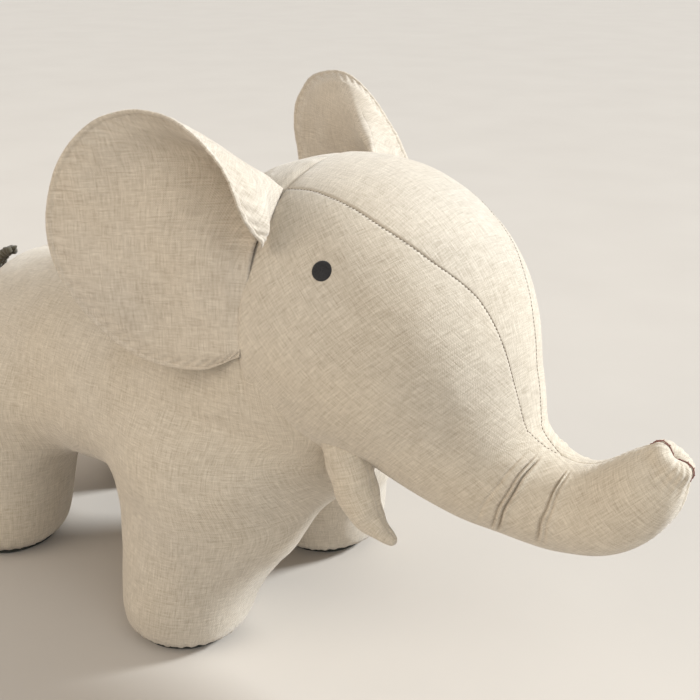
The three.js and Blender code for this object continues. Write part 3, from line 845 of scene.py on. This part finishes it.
def settle(points, rounds):
    """Moves points onto the body's skin: each goes down the slope of its depth, over and over."""
    step = 0.2
    for _ in range(rounds):
        depth, change = body_slope(points, step)
        slope = change / step
        size = np.maximum((slope**2).sum(1), 0.2)
        move = -(depth / size)[:, None] * slope
        points = points + np.clip(move, -6, 6)
    return points


def points_of(obj):
    flat = np.empty(len(obj.data.vertices) * 3, np.float32)
    obj.data.vertices.foreach_get("co", flat)
    return flat.reshape(-1, 3).astype(float) / MM


def put_points(obj, points):
    obj.data.vertices.foreach_set("co", (points * MM).astype(np.float32).ravel())
    obj.data.update()


def apply_modifiers(obj):
    """Replaces the object's mesh with the one its modifiers make, and removes them."""
    view = bpy.context.evaluated_depsgraph_get()
    made = bpy.data.meshes.new_from_object(obj.evaluated_get(view))
    obj.modifiers.clear()
    old = obj.data
    obj.data = made
    bpy.data.meshes.remove(old)
    return obj


def remesh(obj, voxel):
    step = obj.modifiers.new("Even mesh", "REMESH")
    step.mode = "VOXEL"
    step.voxel_size = voxel * MM
    return apply_modifiers(obj)


def subdivide(obj, levels=1):
    step = obj.modifiers.new("Finer mesh", "SUBSURF")
    step.levels = levels
    step.render_levels = levels
    return apply_modifiers(obj)


def inflate(obj, pressure, cap, hold, frames=20):
    """Fills a closed cover: cloth under pressure, each point held to a cap, held parts staying put."""
    before = points_of(obj)
    cloth = obj.modifiers.new("Filled", "CLOTH")
    settings = cloth.settings
    settings.use_pressure = True
    settings.uniform_pressure_force = pressure
    settings.effector_weights.gravity = 0
    settings.quality = 5
    settings.tension_stiffness = settings.compression_stiffness = 12
    settings.bending_stiffness = 0.6
    scene = bpy.context.scene
    cloth.point_cache.frame_start, cloth.point_cache.frame_end = 1, frames
    for number in range(1, frames + 1):
        scene.frame_set(number)
    apply_modifiers(obj)
    scene.frame_set(1)
    move = points_of(obj) - before
    far = np.linalg.norm(move, axis=1)
    allowed = cap * (1 - np.exp(-far / cap)) / np.maximum(far, 1e-9)
    put_points(obj, before + move * (allowed * (1 - hold))[:, None])
    return obj


def closed_skin(name, spine, rows=40, columns=32):
    """The whole skin of a spine's ball, closed at both ends."""
    share = np.linspace(-0.3, 1.3, rows)[:, None]
    return ring_object(name, spine.skin(share, turns(columns)[None], 0, 0.3))


def leg_skin(name, foot, rows=20, columns=28):
    """Rings of a leg from the sole up into the torso, closed at both ends."""
    z = np.linspace(0, LEG_LEAN_UP - 8, rows)[:, None]
    long, wide = (r * leg_narrowing(z) for r in leg_radii(z))
    long[[0, -1]] = wide[[0, -1]] = 0.01
    return ring_object(name, level_rings(leg_axis(foot, z), long, wide, z + SOLE_TOP, turns(columns)))


def joined(name, objects):
    work = bmesh.new()
    for obj in objects:
        tidy(obj)
        work.from_mesh(obj.data)
    mesh = bpy.data.meshes.new(name)
    work.to_mesh(mesh)
    work.free()
    for obj in objects:
        bpy.data.objects.remove(obj)
    made = bpy.data.objects.new(name, mesh)
    bpy.context.scene.collection.objects.link(made)
    return made


def body_cloth_map(obj):
    """Where each corner of the body's cover lies on its cloth, in millimetres.

    Along it is x on the torso and the way round on a leg or the chest; up it is the height,
    unrolled over the back and the belly. They run together just above the legs. The sides are
    apart at the back and belly seams, and each leg at its inner seam.
    """
    mesh = obj.data
    points = points_of(obj)
    count = len(mesh.loops)
    corner = np.empty(count, np.int32)
    mesh.loops.foreach_get("vertex_index", corner)
    sizes = np.empty(len(mesh.polygons), np.int32)
    mesh.polygons.foreach_get("loop_total", sizes)
    face = np.repeat(np.arange(len(sizes)), sizes)
    at = points[corner]
    middle = np.stack([np.bincount(face, at[:, k]) for k in range(3)], 1) / sizes[:, None]
    side = np.where(middle[:, 1] < 0, -1.0, 1.0)[face]
    normal = np.empty(len(mesh.vertices) * 3, np.float32)
    mesh.vertices.foreach_get("normal", normal)
    facing = normal.reshape(-1, 3)[corner]
    raised = at[:, 2] - np.interp(at[:, 0], TORSO_SPINE.rows[:, 0], TORSO_SPINE.rows[:, 1])
    unrolled = at[:, 2] - raised + 88 * np.arctan2(raised, at[:, 1] * side)
    on_top = np.maximum(smooth_step(-10, 25, raised), smooth_step(0.55, 0.9, -facing[:, 2]))
    front = (middle[:, 0] > (FRONT_X + HIND_X) / 2)[face]
    leg_x = np.where(front, FRONT_X, HIND_X)
    forward = np.where(front, FORE_LEAN, HIND_LEAN) / LEG_LEAN_UP
    x = at[:, 0] - leg_x - forward * at[:, 2]
    y = at[:, 1] * side - LEG_OUT + LEG_LEAN_IN * at[:, 2] / LEG_LEAN_UP
    round_leg = np.arctan2(x, y)
    face_round = np.bincount(face, np.sin(round_leg)) + 1j * np.bincount(face, np.cos(round_leg))
    face_round = np.arctan2(face_round.real, face_round.imag)[face]
    round_leg = face_round + (round_leg - face_round + math.pi) % (2 * math.pi) - math.pi
    high = smooth_step(85, 150, at[:, 2])
    level = smooth_step(0.35, 0.75, np.abs(facing[:, 0])) * (1 - smooth_step(150, 200, at[:, 2]))
    on_leg = 1 - high * (1 - level)
    nape = smooth_step(0.2, 0.8, -facing[:, 0]) * np.maximum(at[:, 2] - 200, 0)
    along = at[:, 0] + 0.9 * nape
    u = (1 - on_leg) * along + on_leg * (leg_x + (48 + 27 * high) * round_leg)
    v = (1 - on_top) * at[:, 2] + on_top * unrolled
    layer = mesh.uv_layers.new(name="Cloth")
    layer.data.foreach_set("uv", (np.stack([u * side, v], 1) * MM).ravel())


def body_relief(points):
    """Seams drawn in along the back, belly and neck, gathers above each sole, and soft lumps."""
    relief = 0.7 * lumps(points, 80, 11) + 0.22 * lumps(points, 24, 12)
    away, which = nearest(points, HEAD_LINES["neck"])
    phase = which * 0.9 + 2 * lumps(points, 40, 13)
    relief += 0.25 * np.sin(phase) * bell(away - 5, 4) - 1.5 * bell(away, 3.0)
    belly = points[:, 2] < 120
    relief -= bell(points[:, 1], 1.9) * (1.2 - 0.2 * belly)
    relief -= 0.6 * bell(points[:, 1], 8)
    for foot in FEET.values():
        near = np.hypot(points[:, 0] - foot[0], points[:, 1] - foot[1]) < 60
        turn = np.arctan2(points[:, 1] - foot[1], points[:, 0] - foot[0])
        low = points[:, 2] - SOLE_TOP
        gathers = np.sin(turn * 44 + 3 * np.sin(turn * 5)) + 0.6 * np.sin(turn * 27 + 1)
        relief += near * 0.32 * gathers * bell(low - 3, 6) * (low > 0.2)
    return relief


def build_body():
    parts = [closed_skin("torso_part", TORSO_SPINE)]
    parts += [closed_skin("flank_part", line) for line in (*FLANKS.values(), *SHOULDERS.values())]
    parts.append(closed_skin("chest_part", CHEST_SPINE))
    parts += [leg_skin("leg_part", foot) for foot in FEET.values()]
    body = remesh(joined("body_cover", parts), BODY_VOXEL)
    put_points(body, settle(points_of(body), 9))
    points = points_of(body)
    floor = 1 - smooth_step(3, 30, points[:, 2])
    neck = bell(nearest(points, HEAD_LINES["neck"])[0], 18)
    inside = smooth_step(0, -3, HEAD_SPINE.depth(points, 60))
    inflate(body, 4.0, INFLATE_CAP, np.clip(floor + neck + inside, 0, 1))
    subdivide(body)
    points = points_of(body)
    out = unit(body_slope(points, 0.3)[1])
    lift = body_relief(points) * smooth_step(SOLE_TOP + 0.3, SOLE_TOP + 3, points[:, 2])
    put_points(body, points + out * lift[:, None])
    body_cloth_map(body)
    body.data.polygons.foreach_set("use_smooth", [True] * len(body.data.polygons))
    dress(body, LINEN)
    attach(body, ROOT)
    legs = ["leg_filling_" + name for name in FEET]
    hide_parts("body_panel_right", "body_panel_left", "belly_panel", "torso_filling", *legs)


def build_soles():
    """A felt disc under each leg: flat below, its edge rounded, slightly uneven round."""
    radius = np.array([0.01, 10, 22, 29, 32.0, 32.7, 32.9, 32.5, 31.5, 22, 10, 0.01])
    height = np.array([0, 0, 0, 0, 0.15, 0.5, 1.1, 1.9, 2.25, 2.3, 2.3, 2.3])
    turn = turns(96)
    for name, foot in FEET.items():
        wavy = 1 + 0.008 * np.sin(turn * 3 + foot[0]) + 0.004 * np.sin(turn * 8)
        ring = radius[:, None] * wavy
        grid = level_rings(foot, ring, ring, height[:, None], turn)
        sole = ring_object("felt_sole_" + name, grid)
        dress(tidy(sole, 0.00003), FELT)
        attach(sole, ROOT)
        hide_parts("sole_" + name)


# ---- ears ----
EAR_ANGLE = math.radians(14)
EAR_FOLD = {RIGHT: 12.0, LEFT: 2.0}  # how deep the fold from the root's upper front end is
EAR_PUCKER_PITCH = 8.5  # from one pucker to the next round the rim
EAR_ROOTS = {  # ahead of the neck seam, out from the middle, above the head's centre
    "right": [(3, 90, -11), (5, 84, 26), (4, 73, 54), (-1, 45, 76), (6, 63, 66), (13, 80, 53)],
    "left": [(3, 90, -11), (5, 84, 26), (4, 73, 54), (-1, 45, 74), (-3, 47, 72), (-4, 49, 70)],
}
EAR_RIMS = {  # back from the root, above the head's centre, out of the ear's plane
    "right": [
        (0, -11, 0), (20, -22, 2), (41, -25, 3), (69, -21, 4), (97, -5, 4), (117, 18, 4),
        (125, 46, 4), (119, 78, 4), (102, 103, 4), (79, 119, 4), (50, 124, 4), (22, 116, 11),
        (1, 99, 17), (-10, 77, 17), (-12, 53, -2),
    ],
    "left": [
        (0, -11, 0), (26, -21, 1), (52, -27, 2), (82, -27, 2), (111, -13, 3), (130, 12, 3),
        (139, 48, 3), (146, 81, 3), (131, 105, 2), (102, 118, 1), (73, 118, 0), (48, 106, 0),
        (25, 87, 0), (11, 75, -3), (5, 70, -5),
    ],
}
EAR_TOP = 10  # the point of the rim that its root's fold is drawn to
EAR_OUT = 88  # where an ear's plane starts, out from the body's middle


def ear_middle(name, side, rows, columns):
    """The middle of an ear's pad: straight lines from its root to its round rim."""
    root = np.array(EAR_ROOTS[name], float) * (1, side, 1) + (NECK_X, 0, HEAD[2])
    back, above, out = np.array(EAR_RIMS[name], float).T
    cos, sin = math.cos(EAR_ANGLE), math.sin(EAR_ANGLE)
    rim = np.stack(
        [
            NECK_X + 2 - back * cos + out * sin,
            side * (EAR_OUT + back * sin + out * cos),
            HEAD[2] + above,
        ],
        1,
    )
    rim_knots, root_knots = knots_along(rim), knots_along(root)
    along = np.linspace(0, 1, rows)
    root_at = np.interp(along, [0, rim_knots[EAR_TOP], 1], [0, root_knots[3], 1])
    inner = natural_cubic(root_knots, root, root_at)[:, None]
    outer = natural_cubic(rim_knots, rim, along)[:, None]
    return inner + (outer - inner) * columns[None, :, None]


def build_ear(name, side):
    """A thin pad: a front and a back layer sewn at the rim, turned, with a flat sewn edge."""
    rows = 210
    share = 1 - (1 - np.linspace(0, 1, 96)) ** 1.25
    middle = ear_middle(name, side, rows, share)
    out = normals_of(middle)
    if out[rows // 3, 60, 1] * side < 0:
        out = -out
    weight = smooth_step(0.0, 0.5, share)[None, :, None]
    out = unit(out * weight + out[:, 40:41] * (1 - weight))
    reach = np.linalg.norm(middle[:, -1] - middle[:, 0], axis=1)[:, None]
    from_rim = (1 - share[None]) * reach
    from_root = share[None] * reach
    flat = middle.reshape(-1, 3)

    def soft(size, seed):
        return lumps(flat, size, seed).reshape(from_rim.shape)

    sway = (1.5 * soft(75, 21 + side) + 0.5 * soft(26, 23 + side)) * smooth_step(0, 30, from_root)
    fold = np.linspace(middle[-1, 0], middle[int(rows * 0.64), -1], 60)[:52]
    away, which = nearest(flat, fold)
    deep = EAR_FOLD[side] * (1 - smooth_step(22, 51, which)) * np.exp(-away / 10)
    sway -= (deep * smooth_step(0, 12, from_root.ravel())).reshape(sway.shape)
    turned = length_along(middle[:, -1])[:, None] * 2 * math.pi / EAR_PUCKER_PITCH
    sway += 0.55 * np.sin(turned + 2.2 * soft(45, 25)) * bell(from_rim - 8, 6)
    pad = 0.75 + 2.0 * smooth_step(4, 20, from_rim) * smooth_step(0, 14, from_root)
    pad -= 0.35 * bell(from_rim - 4.2, 0.9)
    pad += 0.25 * bell(from_rim - 2.0, 1.6)
    pad *= 1 - 0.25 * bell(from_rim, 0.8)
    front = middle + out * (sway + pad)[..., None]
    back = middle + out * (sway - pad)[..., None]
    outward = 0.8 * np.abs(middle[..., 1] - middle[:, :1, 1])
    outward = outward * smooth_step(0.6, 0.8, np.linspace(0, 1, rows))[:, None]
    along = np.hypot(middle[..., 0] - NECK_X, (middle[..., 1] - side * EAR_OUT) * 0.5)
    cloth = np.stack([along, middle[..., 2] + outward], -1)
    ear = dress(shell("ear_" + name, front, back, cloth), EAR_LINEN)
    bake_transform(ear)
    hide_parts(*(f"ear_{name}_{layer}" for layer in ("front", "back", "wadding")))


# ---- small pieces ----


EYE_RADIUS = 5.7


def build_eye(name, side):
    """A flat round patch of satin stitch: threads side by side, raised in the middle, on the ball."""
    way = unit(np.array([0.271, side * 0.825, 0.495]))
    across = unit(np.cross(way, (0, 0, 1)))
    up = np.cross(across, way)
    share = np.linspace(0, 1, 44)[:, None]
    turn = turns(128)[None]
    frayed = 1 + 0.012 * np.sin(turn * 31)
    x, y = share * EYE_RADIUS * frayed * np.cos(turn), share * EYE_RADIUS * frayed * np.sin(turn)
    thread = np.abs(np.sin(math.pi * (x + 0.4 * np.sin(y * 0.35)) / 0.62))
    dome = np.sqrt(np.clip(1 - share**6, 0, 1))
    height = 0.3 + dome * (0.55 + 0.2 * thread) + 0 * turn
    ways = unit(way * HEAD_RADIUS + x[..., None] * across + y[..., None] * up)
    top = HEAD + (HEAD_RADIUS + height)[..., None] * ways
    bottom = HEAD + (HEAD_RADIUS - 1.5) * ways[-1:]
    pole = np.broadcast_to(bottom.mean(1, keepdims=True), bottom.shape)
    obj = ring_object("eye_patch_" + name, np.concatenate([top, bottom, pole]))
    dress(tidy(obj), EYE_THREAD)
    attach(obj, ROOT)
    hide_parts("eye_" + name)


def build_tusk(name, side):
    """A small stuffed horn of linen, its seams fore and aft, its root up in the cheek."""
    spine = Spine(
        [(20, -62, 12), (27, -79, 13.5), (33, -95, 12.8), (43, -110, 8.6), (58, -118, 3.3)],
        HEAD + np.array([0, side * 54, 0]),
    )
    share = np.linspace(-0.04, 1.1, 90)[:, None]
    turn = turns(72)[None]
    seams = bell(np.sin(turn), 0.14) * (0.7 + 0.12 * np.sin(share * 90))
    relief = -seams + 0.3 * np.sin(share * 26 + turn * 2)
    relief = relief * smooth_step(1.1, 0.95, share)
    grid = spine.skin(share, turn, relief, 0.1)
    run = np.linspace(0, 72, 90)[:, None]
    cloth = np.stack(np.broadcast_arrays(run, turn * 11), -1)
    obj = ring_object(f"tusk_{name}_cloth", grid, cloth.reshape(-1, 2))
    dress(tidy(obj), LINEN)
    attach(obj, "tusk_" + name)
    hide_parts(f"tusk_{name}_cover", f"tusk_{name}_filling")


def build_tail():
    """A short tail: three strands of dark yarn plaited round each other, and a tuft of loose ends."""
    root = JOINT["tail_swing"]
    share = np.linspace(0, 1, 90)
    line = np.stack(
        [
            root[0] + 6 - 30 * np.sin(share * math.pi / 2),
            0 * share,
            root[2] + 2 + 5 * np.sin(share * math.pi * 0.9) - 58 * share**1.5,
        ],
        1,
    )
    along = unit(np.gradient(line, axis=0))
    sideways = np.array([0.0, 1.0, 0.0])
    upward = np.cross(along, sideways)
    plaits = 3.5
    strands = []
    for k in range(3):
        turn = share * 2 * math.pi * plaits + k * 2 * math.pi / 3
        off = 3.0 * np.sin(turn)[:, None] * sideways + 1.5 * np.sin(2 * turn)[:, None] * upward
        strands.append(line + off)
    plait = several_tubes("tail_plait", strands, 2.35, 10)
    dress(plait, YARN)
    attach(plait, "tail")
    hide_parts("tail_cover", "tail_filling")
    rng = np.random.default_rng(31)
    end = line[-1]
    s = np.linspace(0, 1, 8)[:, None]
    loose = []
    for _ in range(64):
        way = unit(np.array([*(rng.normal(size=2) * 0.22), -1.0]))
        out = rng.normal(size=3) * (2.2, 2.2, 0.8)
        curl = rng.normal(size=3) * 3
        hanging = way * s * rng.uniform(18, 27)
        loose.append(end + out * np.sqrt(s) + hanging + curl * s * s + (0, 0, 3))
    tuft = several_tubes("tail_tuft_yarn", loose, 0.75, 5)
    dress(tuft, YARN)
    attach(tuft, "tail")
    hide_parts("tail_tuft")


# ---- camera, light and floor ----


def aim(obj, place, right, up):
    """Puts a camera or light at a place, turned so that right and up are its own."""
    world = np.eye(4)
    world[:3, :3] = np.stack([right, up, np.cross(right, up)], 1)
    world[:3, 3] = place
    obj.matrix_world = Matrix(world.tolist())
    bpy.context.scene.collection.objects.link(obj)


def build_camera():
    """From ahead of the right side: 37.6 degrees round from square to it, 21.6 degrees down."""
    round_by, down = math.radians(37.6), math.radians(21.6)
    right = np.array([math.cos(round_by), math.sin(round_by), 0])
    away = np.array([-math.sin(round_by), math.cos(round_by), 0])
    up = away * math.sin(down) + np.array([0, 0, 1]) * math.cos(down)
    lens = bpy.data.cameras.new("camera")
    lens.sensor_width = 36
    lens.lens = 56.57
    lens.clip_start, lens.clip_end = 0.02, 60
    camera = bpy.data.objects.new("camera", lens)
    aim(camera, (0.46606, -0.50953, 0.4505), right, up)
    bpy.context.scene.camera = camera


def aim_light(name, light, place, back):
    """Puts a light at a place with its back turned one way, so that it shines the other."""
    right = unit(np.cross((0, 0, 1), back))
    aim(bpy.data.objects.new(name, light), place, right, np.cross(back, right))


def area_light(name, place, size, power, colour, target=(0.0, 0.0, 0.16)):
    light = bpy.data.lights.new(name, "AREA")
    light.shape = "DISK"
    light.size, light.energy, light.color = size, power, colour
    aim_light(name, light, place, unit(np.array(place) - np.array(target)))


def build_studio():
    sun = bpy.data.lights.new("key", "SUN")
    sun.energy, sun.angle, sun.color = 6.0, math.radians(12), (0.87, 0.935, 1.0)
    back = unit(np.array([0.66, 0.74, 0.6]))
    aim_light("key", sun, 3 * back, back)
    area_light("fill", (-0.9, -1.9, 1.2), 2.0, 23, (1.0, 0.88, 0.73))
    area_light("sky", (1.7, -0.9, 1.3), 1.8, 13, (0.82, 0.91, 1.0))
    world = bpy.data.worlds.new("studio")
    world.use_nodes = True
    sky = world.node_tree.nodes["Background"]
    sky.inputs["Color"].default_value = (1.0, 0.98, 0.955, 1)
    sky.inputs["Strength"].default_value = 0.66
    bpy.context.scene.world = world
    bpy.context.scene.view_settings.view_transform = "Standard"
    corners = np.array([(-15, -15, 0), (15, -15, 0), (15, 15, 0), (-15, 15, 0)], float) / MM
    floor = make_object("floor", corners, [(0, 1, 2, 3)])
    material, nodes, shader = new_material("Pale floor")
    place = nodes.add("ShaderNodeTexCoord").outputs["Object"]
    grain = nodes.noise(place, 6.0, 4.0)
    colour = nodes.mix(grain, (0.44, 0.395, 0.345, 1), (0.485, 0.44, 0.385, 1))
    nodes.fill(shader, {"Base Color": colour, "Roughness": 0.75})
    floor.data.materials.append(material)


build_camera()
build_head()
build_head_stitches()
build_body()
build_soles()
for name, side in SIDES.items():
    build_ear(name, side)
    build_eye(name, side)
    build_tusk(name, side)
build_tail()
build_studio()
